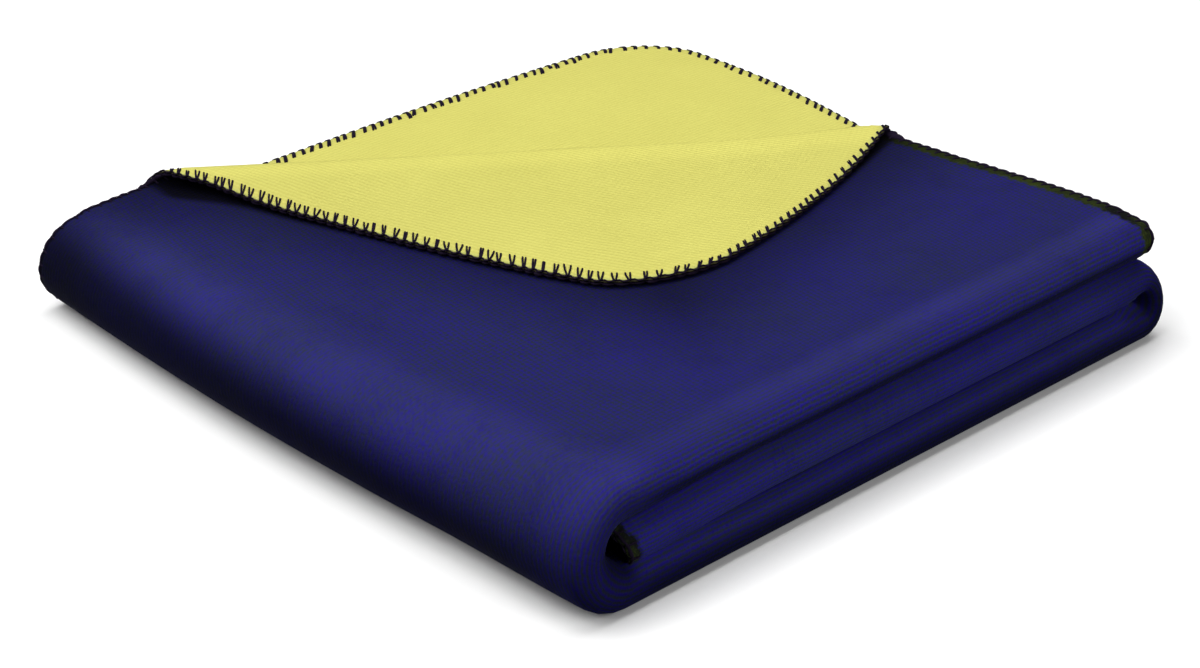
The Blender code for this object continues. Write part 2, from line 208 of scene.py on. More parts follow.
# Sizes worked out from the above
HALF_THICKNESS = THICKNESS / 2
HALF_WIDTH = WIDTH / 2
BOTTOM_RUN_HEIGHT = HALF_THICKNESS + HALF_GAP
MIDDLE_RUN_HEIGHT = (BOTTOM_RUN_HEIGHT + TOP_RUN_HEIGHT) / 2
LOOP_HALF_HEIGHT = (TOP_RUN_HEIGHT - BOTTOM_RUN_HEIGHT) / 2
BEND_RADIUS = (MIDDLE_RUN_HEIGHT - BOTTOM_RUN_HEIGHT) / 2
BEND_X = BEND_OUTSIDE_X - BEND_RADIUS - HALF_GAP - HALF_THICKNESS + BEND_LEAN / 2
BEND_SLANT = BEND_LEAN / (2 * (BEND_RADIUS + HALF_GAP))

LOOP_START = TOP_END_X - LOOP_HALF_WIDTH
LOOP_END = LOOP_START + math.pi * (LOOP_HALF_WIDTH + LOOP_HALF_HEIGHT) / 2
BEND_START = LOOP_END + BEND_X - LOOP_HALF_WIDTH
BEND_END = BEND_START + math.pi * BEND_RADIUS
LENGTH = BEND_END + BEND_X - 2 * BEND_SLANT * BEND_RADIUS - MIDDLE_END_X

TOP_CREASE, BOTTOM_CREASE, MIDDLE_CREASE = CREASE_RADII
CREASE_BOTTOM_HEIGHT = HALF_THICKNESS + BOTTOM_CREASE
CREASE_MIDDLE_HEIGHT = CREASE_BOTTOM_HEIGHT + BOTTOM_CREASE + THICKNESS + RUN_CLEARANCE + MIDDLE_CREASE
CREASE_TOP_HEIGHT = CREASE_MIDDLE_HEIGHT + MIDDLE_CREASE + THICKNESS + RUN_CLEARANCE + TOP_CREASE

CORNER_NORMAL = np.array([1 / CORNER_ALONG, 1 / CORNER_ACROSS])
CORNER_DEPTH = 1 / np.hypot(*CORNER_NORMAL)
CORNER_NORMAL = CORNER_NORMAL * CORNER_DEPTH
RIDGE_SPAN = np.hypot(CORNER_ALONG, CORNER_ACROSS)


# Folding

def ease(t):
    """0 up to t = 0 and 1 from t = 1, with a smooth step between."""
    t = np.clip(t, 0, 1)
    return t * t * (3 - 2 * t)


def mix(first, second, share):
    """The value that lies at that share of the way from the first to the second."""
    return first + (second - first) * share


def run_value(along, values):
    """A value that the top, bottom and middle runs each have, carried smoothly round the loop and bend."""
    top, bottom, middle = values
    to_bottom = ease((along - LOOP_START) / (LOOP_END - LOOP_START))
    to_middle = ease((along - BEND_START) / (BEND_END - BEND_START))
    return mix(mix(top, bottom, to_bottom), middle, to_middle)


def ridge_level(along, across):
    """How far along the ridge a flat point lies: 0 at the long edge and 1 at the end."""
    level = ((CORNER_ALONG - along) * CORNER_NORMAL[1] + across * CORNER_NORMAL[0]) / RIDGE_SPAN
    return np.clip(level, 0, 1)


def corner_fold(along, across):
    """Turn the corner back: flat points past the fold line go round a half circle and back over the layer.

    The circle's radius changes evenly along the ridge, less a short dip. The flap then settles to its own
    height. It slides along the ridge, by the bows of its two edges and a drift of its tip. Its long edge
    waves, its end edge is drawn in near the tip, and it reaches a little less far at the tip, with the fourth
    power of the share of the way there.

    Gives the flat place that each point then lies over, and its height above the layer there."""
    past = CORNER_DEPTH - along * CORNER_NORMAL[0] - across * CORNER_NORMAL[1]
    on_ridge = ridge_level(along, across)
    dip = RIDGE_DIP * np.exp(-(((on_ridge - DIP_PLACE) / DIP_REACH) ** 2))
    radius = mix(RIDGE_RADIUS_SIDE, RIDGE_RADIUS_END, on_ridge) - dip
    back = past - math.pi * radius
    share = np.clip(past / CORNER_DEPTH, 0, 1)
    bow = 4 * (END_LEG_BOW * across / CORNER_ACROSS - SIDE_LEG_BOW * along / CORNER_ALONG)
    slide = share * (bow + TIP_DRIFT)
    angle = np.clip(past / radius, 0, math.pi)
    level = along / CORNER_ALONG
    wave = SIDE_LEG_WAVE * level * share * (WAVE_TURN - level)
    draw = DRAW_PEAK * END_LEG_DRAW * across / CORNER_ACROSS * share**DRAW_POWER
    returned = -back * (1 - TIP_EASE * share**4) - (wave - draw) * ease(back / WAVE_EASE)
    reach = np.where(past <= 0, past, np.where(back < 0, radius * np.sin(angle), returned))
    over_swell = np.where(past <= 0, past, np.where(back < 0, 0, -back))
    swell = RIDGE_SWELL * (1 - on_ridge) ** 4 * ease(1 + over_swell / SWELL_LENGTH)
    round_ridge = radius * (1 - np.cos(angle))
    settled = mix(2 * radius, FLAP_HEIGHT, ease(back / FLAP_EASE))
    height = swell + np.where(back < 0, round_ridge, settled)
    outer_layer = (across < HALF_WIDTH) & (along < LOOP_START)
    shift = np.where(outer_layer, past - reach, 0)
    return (
        along + shift * CORNER_NORMAL[0] - slide * CORNER_NORMAL[1],
        across + shift * CORNER_NORMAL[1] + slide * CORNER_NORMAL[0],
        np.where(outer_layer, height, 0),
    )


def crease_section(along, side, from_crease):
    """The fold in half, cut square to the crease: a half circle there, then two layers that draw together. In
    the tight bend, the inner half is tucked in: it goes back along a smooth step round the circle, and comes
    forward again on the straight.

    Gives y, a layer's offset from the middle of its run, and nearness, 1 at the crease and 0 beyond."""
    radius = run_value(along, CREASE_RADII)
    quarter = math.pi * radius / 2
    straight = np.maximum(from_crease - quarter, 0)
    angle = np.minimum(from_crease / radius, math.pi / 2)
    nearness = (1 + np.cos(math.pi * np.minimum(straight / BULGE_LENGTH, 1))) / 2
    going_in = ease((along - BEND_START + TUCK_LEAD) / TUCK_BEFORE)
    in_bend = going_in * ease((BEND_END - along + TUCK_LAG) / TUCK_AFTER)
    inner_half = np.where(side < 0, ease(angle * 2 / math.pi) * (1 - ease(straight / TUCK_REACH)), 0)
    tuck = BEND_TUCK * in_bend * inner_half
    y = run_value(along, SET_BACKS) + radius * (1 - np.cos(angle)) + straight + tuck
    offset = np.where(straight > 0, mix(HALF_GAP, radius, nearness), radius * np.sin(angle))
    return y, offset, nearness


def run_place(along, nearness, rise):
    """The place in the plane of x and z of a point that stands by rise from the middle of its run.

    The middle goes left on top, down round half an ellipse, right along the floor, up round a half circle and
    left. A positive rise is away from the stack. The bend leans back by the same share at every rise. Near
    the crease, the inner layer swells into the loop, more so in its lower half, and the end of the middle run
    sags."""
    bottom = mix(BOTTOM_RUN_HEIGHT, CREASE_BOTTOM_HEIGHT, nearness)
    middle = mix(MIDDLE_RUN_HEIGHT, CREASE_MIDDLE_HEIGHT, nearness)
    top = mix(TOP_RUN_HEIGHT, CREASE_TOP_HEIGHT, nearness)
    half_height = (top - bottom) / 2
    half_width = LOOP_HALF_WIDTH + LOOP_ROUNDING * (half_height - LOOP_HALF_HEIGHT)
    bend_radius = (middle - bottom) / 2
    loop = np.clip((along - LOOP_START) / (LOOP_END - LOOP_START), 0, 1) * math.pi
    bend = np.clip((along - BEND_START) / (BEND_END - BEND_START), 0, 1) * math.pi
    by_loop = ease(1 - np.maximum(LOOP_START - along, along - LOOP_END) / MOUTH_LENGTH)
    swell = MOUTH_SWELL * by_loop + LOW_SWELL * np.maximum(-np.sin(2 * loop), 0)
    rise = rise - swell * nearness * np.clip(-rise / BOTTOM_CREASE, 0, 1)
    sag = MIDDLE_SAG * nearness * ease(1 - (LENGTH - along) / MOUTH_LENGTH)
    steps = [along <= LOOP_START, along <= LOOP_END, along <= BEND_START, along <= BEND_END]
    places_x = [
        TOP_END_X - along,
        LOOP_HALF_WIDTH - half_width * np.sin(loop),
        LOOP_HALF_WIDTH + along - LOOP_END,
        BEND_X + bend_radius * np.sin(bend),
    ]
    places_z = [
        top,
        (top + bottom) / 2 + half_height * np.cos(loop),
        bottom,
        (bottom + middle) / 2 - bend_radius * np.cos(bend),
    ]
    x = np.select(steps, places_x, BEND_X - (along - BEND_END))
    z = np.select(steps, places_z, middle)
    across_loop = -half_height * np.sin(loop)
    up_loop = half_width * np.cos(loop)
    size = np.hypot(across_loop, up_loop)
    normal_x = np.select(steps, [0 * x, across_loop / size, 0 * x, np.sin(bend)], 0)
    normal_z = np.select(steps, [1 + 0 * x, up_loop / size, -1 + 0 * x, -np.cos(bend)], 1)
    lean = BEND_SLANT * (bend_radius + rise) * (1 - np.cos(bend))
    return x + normal_x * rise - lean, z + normal_z * rise - sag


def lie_unevenly(x, y, z, along, side, from_crease):
    """Shift the neat folds to where they lie: the top run's layers slipped and skewed, the edges of its two
    layers bowed out by half waves, its end lifted, the loop bowed and pulled in at the front and back, and
    then all of it taller at the front and right."""
    on_top = ease(1 - along / LOOP_START)
    far = y / HALF_WIDTH
    x = x - side * LAYER_SLIP / 2 * ease((from_crease - SLIP_START) / SLIP_REACH) * on_top
    x = x + END_SKEW * on_top * (far - 0.5)
    y = y - EDGE_SKEW * on_top * ease(far) * (x / TOP_END_X - 0.5)
    inner = np.where(side < 0, on_top, 0)
    by_corner = np.clip((from_crease - HALF_WIDTH) / INNER_BOW_ACROSS + 1, 0, 1)
    by_edge = np.sin(math.pi * np.clip(along / INNER_BOW_ALONG, 0, 1))
    y = y + INNER_EDGE_BOW * inner * by_edge * ease(by_corner)
    x = x + INNER_END_BOW * inner * np.sin(math.pi * by_corner) * ease(1 - along / INNER_BOW_ALONG)
    beside_crease = np.sin(math.pi * np.clip(from_crease / OUTER_BOW_LENGTH, 0, 1)) ** 2
    x = x + OUTER_END_BOW * np.where(side > 0, beside_crease, 0) * ease(1 - along / INNER_BOW_ALONG)
    lift = np.maximum(1 - along / END_LIFT_LENGTH, 0) ** 2 * ease(from_crease / END_LIFT_START)
    z = z + END_LIFT * lift * np.where(side > 0, 1, 0.5)
    far = y / HALF_WIDTH
    bow = LOOP_BOW * np.sin(math.pi * np.clip(far, 0, 1))
    by_loop = 1 - ease(x / LOOP_BOW_REACH)
    pull = FRONT_PULL * (1 - ease(far / FRONT_PULL_REACH))
    pull = pull - BACK_TUCK * ease(2 * far - 1) * z / TOP_RUN_HEIGHT
    taller = 1 - FRONT_WEDGE * (far - 0.5) + RIGHT_WEDGE * (x / BEND_OUTSIDE_X - 0.5)
    return x - (bow + pull) * by_loop, y, HALF_THICKNESS + (z - HALF_THICKNESS) * taller


def fold(flat):
    """Carry flat points, a row each of along and across, to their places on the folded blanket: the corner
    turned back, the fold in half, the fold in three, and then how it all lies unevenly."""
    along, across, height = corner_fold(flat[:, 0], flat[:, 1])
    side = np.where(across < HALF_WIDTH, 1, -1)
    from_crease = np.abs(across - HALF_WIDTH)
    y, offset, nearness = crease_section(along, side, from_crease)
    x, z = run_place(along, nearness, side * offset)
    x, y, z = lie_unevenly(x, y, z, along, side, from_crease)
    return np.stack([x, y, z + height], axis=1)


def standing(flat, lift):
    """The places of points that stand by lift from the folded middle surface, square to it and towards the
    navy face. The direction square to it is the cross product of the steps to its neighbours along and
    across."""
    step = 0.0004
    ahead = fold(flat + [step, 0]) - fold(flat - [step, 0])
    aside = fold(flat + [0, step]) - fold(flat - [0, step])
    square = np.cross(ahead, aside)
    square = square / np.linalg.norm(square, axis=1, keepdims=True)
    return fold(flat) + lift[:, None] * square


# The flat cloth

def lines(*stretches):
    """The places of the grid's lines: each stretch, an end and a count, adds so many even steps up to it."""
    places = [np.zeros(1)]
    for end, count in stretches:
        places.append(np.linspace(places[-1][-1], end, count + 1)[1:])
    return np.concatenate(places)


def crowd(flat):
    """Draw the grid's lines together at the ridge. Level is 0 at the cloth's corner and 1 on the fold line,
    and each point moves straight towards or away from the corner, so that its level goes nearer to the
    ridge's."""
    level = flat[:, 0] / CORNER_ALONG + flat[:, 1] / CORNER_ACROSS
    off = level - CROWDED_LEVEL
    moved = level - CROWDING * off * np.exp(-((off / CROWDED_WIDTH) ** 2))
    return flat * (moved / np.maximum(level, 1e-6))[:, None]


def nearest_inner(flat):
    """The nearest point of the rectangle that the centres of the rounded corners span."""
    low = CORNER_RADIUS
    return np.clip(flat, [low, low], [LENGTH - low, WIDTH - low])


def round_corners(flat):
    """Squares the radius wide at the corners shrink to quarter circles: each point moves towards the corner's
    centre, so that its larger distance from it along or across becomes its distance."""
    centre = nearest_inner(flat)
    out = flat - centre
    distance = np.maximum(np.hypot(out[:, 0], out[:, 1]), 1e-9)
    return centre + out * (np.abs(out).max(axis=1) / distance)[:, None]


def rim_of(flat):
    """The point of the stitched edge nearest to each given point, and the edge's outward direction there."""
    centre = nearest_inner(flat)
    out = flat - centre
    out = out / np.linalg.norm(out, axis=1, keepdims=True)
    return centre + (CORNER_RADIUS + EDGE_OUT) * out, out


def flat_grid():
    """The grid of the flat cloth without its outermost cells, as an array of lines along by lines across."""
    along = lines(
        (CORNER_ALONG, CORNER_LINES),
        (LOOP_START, 6),
        (LOOP_END, 14),
        (BEND_START, 53),
        (BEND_END, 12),
        (LENGTH, 51),
    )
    across = lines(
        (CORNER_ACROSS, CORNER_LINES),
        (HALF_WIDTH - 0.070, 20),
        (HALF_WIDTH - 0.025, 7),
        (HALF_WIDTH + 0.025, 16),
        (HALF_WIDTH + 0.070, 7),
        (WIDTH, 55),
    )
    grid = np.stack(np.meshgrid(along[1:-1], across[1:-1], indexing="ij"), axis=-1)
    flat = crowd(round_corners(grid.reshape(-1, 2)))
    return flat.reshape(grid.shape)


def ring_of(numbers):
    """The numbers round the border of an array, once each and in order, from its first one."""
    return np.concatenate([numbers[:-1, 0], numbers[-1, :-1], numbers[:0:-1, -1], numbers[0, :0:-1]])


def stitch_pitch(flat, out):
    """How far apart the stitches are at places on the edge: the pitch goes from that of the long edge to that
    of the end edge with the square of how squarely the edge faces along the cloth."""
    start, reached, end, left = RIDGE_STRETCH
    across = flat[:, 1]
    by_ridge = ease((across - start) / (reached - start)) * (1 - ease((across - end) / (left - end)))
    outer = mix(LONG_PITCH, mix(END_PITCH, RIDGE_PITCH, by_ridge), out[:, 0] ** 2)
    inner = mix(INNER_LONG_PITCH, INNER_END_PITCH, out[:, 0] ** 2)
    return np.where(flat[:, 1] > HALF_WIDTH, inner, outer)


class Rim:
    """The outline of the cloth: fine stations along it, with their flat places, outward directions and
    lengths, and the lengths at which the stitches lie: a pitch apart, and then each shifted a little at
    random."""

    def __init__(self, ring):
        shares = np.arange(EDGE_STATIONS) / EDGE_STATIONS
        following = np.roll(ring, -1, axis=0)
        inner = ring[:, None, :] + (following - ring)[:, None, :] * shares[None, :, None]
        self.flat, self.out = rim_of(inner.reshape(-1, 2))
        steps = np.linalg.norm(np.roll(self.flat, -1, axis=0) - self.flat, axis=1)
        self.perimeter = steps.sum()
        self.length = np.concatenate([[0], np.cumsum(steps)[:-1]])
        turns = np.concatenate([[0], np.cumsum(steps / stitch_pitch(self.flat, self.out))])
        self.count = round(turns[-1])
        even = np.interp(np.arange(self.count) * turns[-1] / self.count, turns, self.stops())
        uneven = np.random.default_rng(5).normal(0, UNEVEN_PITCH * LONG_PITCH, self.count)
        self.stitches = even + uneven - uneven[0]
        self.stitch_stops = np.append(self.stitches, self.perimeter)

    def stops(self):
        """The stations' lengths, with the first one again at the end, a whole turn on."""
        return np.append(self.length, self.perimeter)

    def length_at(self, turns):
        """The length at which that many stitches have been passed."""
        return np.interp(turns, np.arange(self.count + 1), self.stitch_stops)

    def phase_at(self, length):
        """0 at a stitch and 1 halfway between two: the sine of the share of the way from stitch to stitch."""
        passed = np.interp(length, self.stitch_stops, np.arange(self.count + 1))
        return np.abs(np.sin(math.pi * passed))

    def at(self, length):
        """The outline's flat place and outward direction at a length along it, read between its stations."""
        length = np.mod(length, self.perimeter)
        closed = np.vstack([self.flat, self.flat[:1]])
        flat = np.stack([np.interp(length, self.stops(), closed[:, axis]) for axis in (0, 1)], axis=1)
        return rim_of(flat)


def scallop(flat, out):
    """How far the edge stands out between stitches: least on the top layer's long edge, most on its end."""
    outer = mix(LONG_SCALLOP, END_SCALLOP, out[:, 0] ** 2)
    return SCALLOP * np.where(flat[:, 1] > HALF_WIDTH, INNER_SCALLOP, outer)


def edge_lift(depth, phase):
    """Half the cloth's thickness at a depth in from its edge: it thins towards the edge, rounds off over it
    as a quarter ellipse, and is pinched by the stitches, less so further in."""
    thinned = mix(EDGE_HALF, HALF_THICKNESS, ease(depth / TAPER))
    within = np.clip(depth / EDGE_ROUNDING, 0, 1)
    rounded = np.sqrt(1 - (1 - within) ** 2)
    pinch = EDGE_PINCH * (1 - phase) * (1 - ease(depth / PINCH_DEPTH))
    return thinned * rounded * (1 - pinch)


# Putting pieces together

def add_piece(name, points, triangles, material_index, materials):
    """A smooth mesh object of the given points, triangles and materials."""
    mesh = bpy.data.meshes.new(name)
    mesh.from_pydata(points, [], triangles)
    for material in materials:
        mesh.materials.append(material)
    mesh.polygons.foreach_set("material_index", np.asarray(material_index, np.int32))
    mesh.shade_smooth()
    piece = bpy.data.objects.new(name, mesh)
    bpy.context.scene.collection.objects.link(piece)
    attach(piece, "root")
    return piece


def add_numbers(piece, name, values):
    """Give each point of a piece three numbers of its own, for its material to read."""
    attribute = piece.data.attributes.new(name, "FLOAT_VECTOR", "POINT")
    attribute.data.foreach_set("vector", np.asarray(values, np.float32).ravel())


def grid_triangles(numbers):
    """Two triangles for each cell of an array of point numbers, split along the diagonal nearer the ridge."""
    a, b, c, d = numbers[:-1, :-1], numbers[1:, :-1], numbers[1:, 1:], numbers[:-1, 1:]
    first = np.stack([a, b, d], axis=-1).reshape(-1, 3)
    second = np.stack([b, c, d], axis=-1).reshape(-1, 3)
    return np.concatenate([first, second])


def fan_triangles(ring, fine):
    """The triangles between a coarse closed ring and a finer one with several stations to each step."""
    count = EDGE_STATIONS
    rows = fine.reshape(-1, count)
    rows = np.hstack([rows, np.roll(rows[:, :1], -1, axis=0)])
    following = np.roll(ring, -1)
    half = (count + 1) // 2
    parts = [np.stack([ring, rows[:, k], rows[:, k + 1]], axis=1) for k in range(half)]
    parts.append(np.stack([ring, rows[:, half], following], axis=1))
    parts += [np.stack([following, rows[:, k], rows[:, k + 1]], axis=1) for k in range(half, count)]
    return np.concatenate(parts)


def closed_strip(rows):
    """The triangles of a strip of closed rows, each as long as the next: two for each cell."""
    wrapped = np.hstack([rows, rows[:, :1]])
    a, b, c, d = wrapped[:-1, :-1], wrapped[1:, :-1], wrapped[1:, 1:], wrapped[:-1, 1:]
    first = np.stack([a, b, c], axis=-1).reshape(-1, 3)
    second = np.stack([a, c, d], axis=-1).reshape(-1, 3)
    return np.concatenate([first, second])


def make_cloth(shift, navy, yellow):
    """The cloth, both faces and the edge between them, as one closed surface.

    The faces are the grid, lifted by half the thickness to either side. From their rings, rows of fine
    stations go round the edge. Their lift is the edge's, and the edge stands out between the stitches."""
    grid = flat_grid()
    flat = grid.reshape(-1, 2)
    count = len(flat)
    numbers = np.arange(count).reshape(grid.shape[:2])
    ring = ring_of(numbers)
    rim = Rim(flat[ring])
    stations = len(rim.flat)
    phase = rim.phase_at(rim.length)

    sides = [(depth, 1) for depth in EDGE_DEPTHS] + [(depth, -1) for depth in EDGE_DEPTHS[-2::-1]]
    bulge = scallop(rim.flat, rim.out) * (phase - 0.5)
    row_flat = []
    row_lift = []
    row_depth = []
    for depth, side in sides:
        out = bulge * (1 - ease(depth / PINCH_DEPTH)) - depth
        row_flat.append(rim.flat + rim.out * out[:, None])
        row_lift.append(side * edge_lift(np.full(stations, depth), phase))
        row_depth.append(np.full(stations, depth))

    depth = CORNER_RADIUS + EDGE_OUT - np.linalg.norm(flat - nearest_inner(flat), axis=1)
    all_flat = np.concatenate([flat, flat, *row_flat])
    face_lift = np.repeat([HALF_THICKNESS, -HALF_THICKNESS], count)
    all_lift = np.concatenate([face_lift, *row_lift])
    all_depth = np.concatenate([depth, depth, *row_depth])
    points = standing(all_flat, all_lift) + shift

    rows = 2 * count + np.arange(len(sides) * stations).reshape(len(sides), stations)
    navy_rows = len(EDGE_DEPTHS)
    parts = [
        (grid_triangles(numbers), 0),
        (grid_triangles(numbers + count)[:, ::-1], 1),
        (fan_triangles(ring, rows[0]), 0),
        (fan_triangles(ring + count, rows[-1])[:, ::-1], 1),
        (closed_strip(rows[:navy_rows]), 0),
        (closed_strip(rows[navy_rows - 1 :]), 1),
    ]
    triangles = np.concatenate([part for part, _ in parts])
    material_index = np.concatenate([np.full(len(part), index) for part, index in parts])
    cloth = add_piece("blanket_cloth", points, triangles, material_index, [navy, yellow])
    add_numbers(cloth, "flat", np.column_stack([all_flat, all_depth]))
    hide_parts("cloth")
    return cloth, rim


# Colours and materials

class Value:
    """A number that changes over a surface. Its sums, differences and products add their Math nodes."""

    def __init__(self, paint, socket):
        self.paint = paint
        self.socket = socket

    def __add__(self, other):
        return self.paint.math("ADD", self, other)

    def __radd__(self, other):
        return self.paint.math("ADD", other, self)

    def __sub__(self, other):
        return self.paint.math("SUBTRACT", self, other)

    def __rsub__(self, other):
        return self.paint.math("SUBTRACT", other, self)

    def __mul__(self, other):
        return self.paint.math("MULTIPLY", self, other)

    def __rmul__(self, other):
        return self.paint.math("MULTIPLY", other, self)


class Paint:
    """A material with a Principled shader, and the nodes that feed it."""

    def __init__(self, name):
        self.material = bpy.data.materials.new(name)
        self.material.use_nodes = True
        self.tree = self.material.node_tree
        self.shader = self.tree.nodes["Principled BSDF"]

    def node(self, kind, inputs, output=0, **settings):
        """Add a node: its settings first, then its sockets' numbers or links. Gives one of its outputs."""
        made = self.tree.nodes.new("ShaderNode" + kind)
        for name, setting in settings.items():
            setattr(made, name, setting)
        for name, value in inputs.items():
            self.feed(made.inputs[name], value)
        return Value(self, made.outputs[output])

    def feed(self, socket, value):
        """Link a value to a socket, or set a number or colour on it."""
        if isinstance(value, Value):
            self.tree.links.new(value.socket, socket)
        else:
            socket.default_value = value

    def math(self, operation, first, second=0.0):
        return self.node("Math", {0: first, 1: second}, operation=operation)

    def sine(self, value):
        return self.math("SINE", value)

    def limit(self, value):
        """The value, kept between 0 and 1."""
        return self.node("Clamp", {"Value": value})

    def step(self, value, low, high):
        """0 below low and 1 above high, with a smooth step between."""
        inputs = {"Value": value, "From Min": low, "From Max": high}
        return self.node("MapRange", inputs, interpolation_type="SMOOTHSTEP")

    def fade(self, value, low, high):
        """1 below low and 0 above high, with a smooth step between."""
        return 1.0 - self.step(value, low, high)

    def band(self, value, rise, fall):
        """1 on a stretch and 0 beyond it, with a smooth step up over the first pair of places and down over
        the second."""
        return self.step(value, *rise) * self.fade(value, *fall)

    def near(self, value, place, full, none):
        """1 up to a distance of full from the place, 0 from a distance of none, and a smooth step between."""
        return self.fade(self.math("ABSOLUTE", value - place), full, none)

    def colour(self, share, first, second):
        """The colour at that share of the way from the first to the second."""
        return self.node("Mix", {0: share, 6: first, 7: second}, output=2, data_type="RGBA")

    def scaled(self, colour, share):
        """The colour with its three parts multiplied by the share."""
        return self.node("VectorMath", {0: colour, "Scale": share}, operation="SCALE")

    def numbers(self, name):
        """The three numbers that a piece's points carry, one value each, and the vector of them."""
        vector = self.node("Attribute", {}, output="Vector", attribute_name=name)
        split = [self.node("SeparateXYZ", {0: vector}, output=axis) for axis in (0, 1, 2)]
        return (*split, vector)

    def noise(self, vector, scale, detail=2.0):
        return self.node("TexNoise", {"Vector": vector, "Scale": scale, "Detail": detail})

    def bump(self, height, distance, under=None):
        """A normal that follows the height, over that many metres, on top of the one under it."""
        inputs = {"Height": height, "Distance": distance}
        if under is not None:
            inputs["Normal"] = under
        return self.node("Bump", inputs)

    def finish(self, colour, roughness, normal):
        self.feed(self.shader.inputs["Base Color"], colour)
        self.feed(self.shader.inputs["Roughness"], roughness)
        self.feed(self.shader.inputs["Normal"], normal)
        self.shader.inputs["Specular IOR Level"].default_value = 0.05
        return self.material


def rgb(red, green, blue):
    """A colour as the eye sees it, from 0 to 255 each, as the linear numbers that a shader takes."""
    share = np.array([red, green, blue]) / 255
    linear = np.where(share <= 0.04045, share / 12.92, ((share + 0.055) / 1.055) ** 2.4)
    return (*linear.tolist(), 1.0)


# The cloth's and the yarn's colours
SLATE = rgb(35, 41, 58)
BLUE = rgb(31, 23, 116)
# The navy's colours under the painted highlight on the shoulders
LIT_SLATE = rgb(50, 56, 78)
LIT_BLUE = rgb(42, 36, 132)
DEEP_NAVY = rgb(12, 12, 30)
EDGE_NAVY = rgb(12, 12, 26)
# The yellow pile drawn over at the ends, painted dark olive as yellow in shade
DARK_OLIVE = rgb(16, 18, 18)
OLIVE = rgb(54, 66, 18)
LOW_YELLOW = rgb(180, 175, 89)
HIGH_YELLOW = rgb(198, 194, 104)
GREEN_YELLOW = rgb(172, 174, 98)
# The yellow painted dark as in shade at the top layer's very edge
EDGE_SHADE_YELLOW = rgb(70, 66, 44)
# The yellow painted dark as in shade where it lies inside the folds
SHADED_BURIED_YELLOW = rgb(30, 32, 8)
YARN_LOW = rgb(11, 8, 18)
YARN_HIGH = rgb(33, 24, 44)

# The weave and the brushed pile, and where painted highlight and shade lie on them
RIB_TURNS = 2 * math.pi / 0.0045  # radians to the metre, for ribs 4.5 mm apart
ROW_TURNS = 2 * math.pi / 0.0044
TOOTH_TURNS = 2 * math.pi / END_PITCH
ROW_SKEW = 0.15
CREASE_HALF = 0.018  # over so far to either side of the crease, the cloth's outside is stretched
CREASE_STRETCH = 0.60
BRUSH_COSINE = 0.82  # how the brushed streaks slant, and how many go to the metre, across and along them
BRUSH_SINE = 0.57
STREAKS_ACROSS = 620.0
STREAKS_ALONG = 75.0
SHOULDER_LIGHT_ALONG = LOOP_START + 0.010  # the loop's shoulder, where a painted highlight lightens the navy
SHOULDER_LIGHT_ACROSS = HALF_WIDTH - 0.032  # the shoulder of the front crease
SHOULDER_LIGHT_HALF_ALONG = (0.004, 0.055)  # how far from each the painted highlight starts to fade, and ends
SHOULDER_LIGHT_HALF_ACROSS = (0.002, 0.024)
SHOULDER_LIGHT_TOP = (0.35, 0.62)  # where along the crease it grows weaker, and by what shares there and on the loop
SHOULDER_LIGHT_TOP_LOSS = 0.7
SHOULDER_LIGHT_LOOP_LOSS = 0.3
BENT_ACROSS = (HALF_WIDTH - 0.08, HALF_WIDTH - 0.01)  # from the front crease on, the ribs outdo the rows
ROWS_END = (LOOP_START - 0.035, LOOP_START + 0.005)  # where the rows grow faint, just before the loop
ROWS_FAINT = 0.75
END_BAND = (0.012, 0.022)  # how far from the cloth's ends the olive band goes over to navy
BAND_DEPTH = 0.0105  # how much deeper the dark edge is there, and how much less so inside the folds
INSIDE_BAND_LOSS = 0.0045
EDGE_BAND_DEPTH = 0.0030  # how deep it is elsewhere
BAND_SHARPNESS = 260.0  # its colour goes over to the pile's in a metre divided by this
GREEN_DEPTH = (0.001, 0.006)  # how far in from the edge the yellow is greener, and painted dark as in shade at the very edge
DARK_DEPTH = (0.0006, 0.0020)
TOP_LAYER_END = (HALF_WIDTH - 0.1, HALF_WIDTH)  # where the yellow goes over to that inside the folds
CREST_PLACE = 0.030  # how far past the fold line the ridge's crest lies, and how wide its painted highlight is
CREST_HALF = (0.006, 0.034)
SHADED_BURIED_END = (LENGTH - 0.10, LENGTH - 0.03)  # the end of the cloth that lies inside the folds, painted dark as in shade there
CLOTH_ROUGHNESS = 0.95
YARN_ROUGHNESS = 0.90

# The turned corner's two edges as straight lines on the cloth beneath: a place on each, and the direction
# square to it, each as numbers along and across
SIDE_LEG_PLACE = (0.50, 0.02)
SIDE_LEG_SQUARE = (0.962, 0.272)
END_LEG_PLACE = (0.0, 0.385)
END_LEG_SQUARE = (-0.249, 0.969)

# Painted shade on the navy: the shares of its colour that are taken away, each where the painted shade is
# darkest
LOOP_DARK = 0.77
LONG_EDGE_DARK = 0.42
CORNER_SHADOW_DARK = 0.72
HOLLOW_DARK = 0.88
MOUTH_DARK = 0.70
PILE_LIGHT = 0.80  # the light of the whole pile

# Where those shades start and end, as places along or across the cloth
OUTSIDE_END = (LOOP_END - 0.045, LOOP_END + 0.035)  # where the loop goes under the stack
DOWN_LOOP = (0.618, 0.657)
LOOP_SKEW = 0.060  # how much further along that is for each bit across
BY_FRONT = (HALF_WIDTH - 0.10, HALF_WIDTH)
FRONT_SPARED = 0.85  # the share of the loop's shade that is missing there
BY_LONG_EDGE = (-0.02, 0.14)
BEND_ALONG = ((BEND_START - 0.006, BEND_START + 0.016), (BEND_END - 0.016, BEND_END))
BEND_ACROSS = (HALF_WIDTH - 0.08, HALF_WIDTH - 0.02)
BEND_DARK = 0.35  # the share of the colour taken away by painted shade in the tight bend's pocket, and how much more past the crease
BEND_FAR_DARK = 0.30
BEND_FAR = (HALF_WIDTH, HALF_WIDTH + 0.014)
MOUTH_ALONG = ((LOOP_START + 0.03, LOOP_START + 0.06), (LOOP_END, LOOP_END + 0.02))
MOUTH_ACROSS = (HALF_WIDTH, HALF_WIDTH + 0.012)
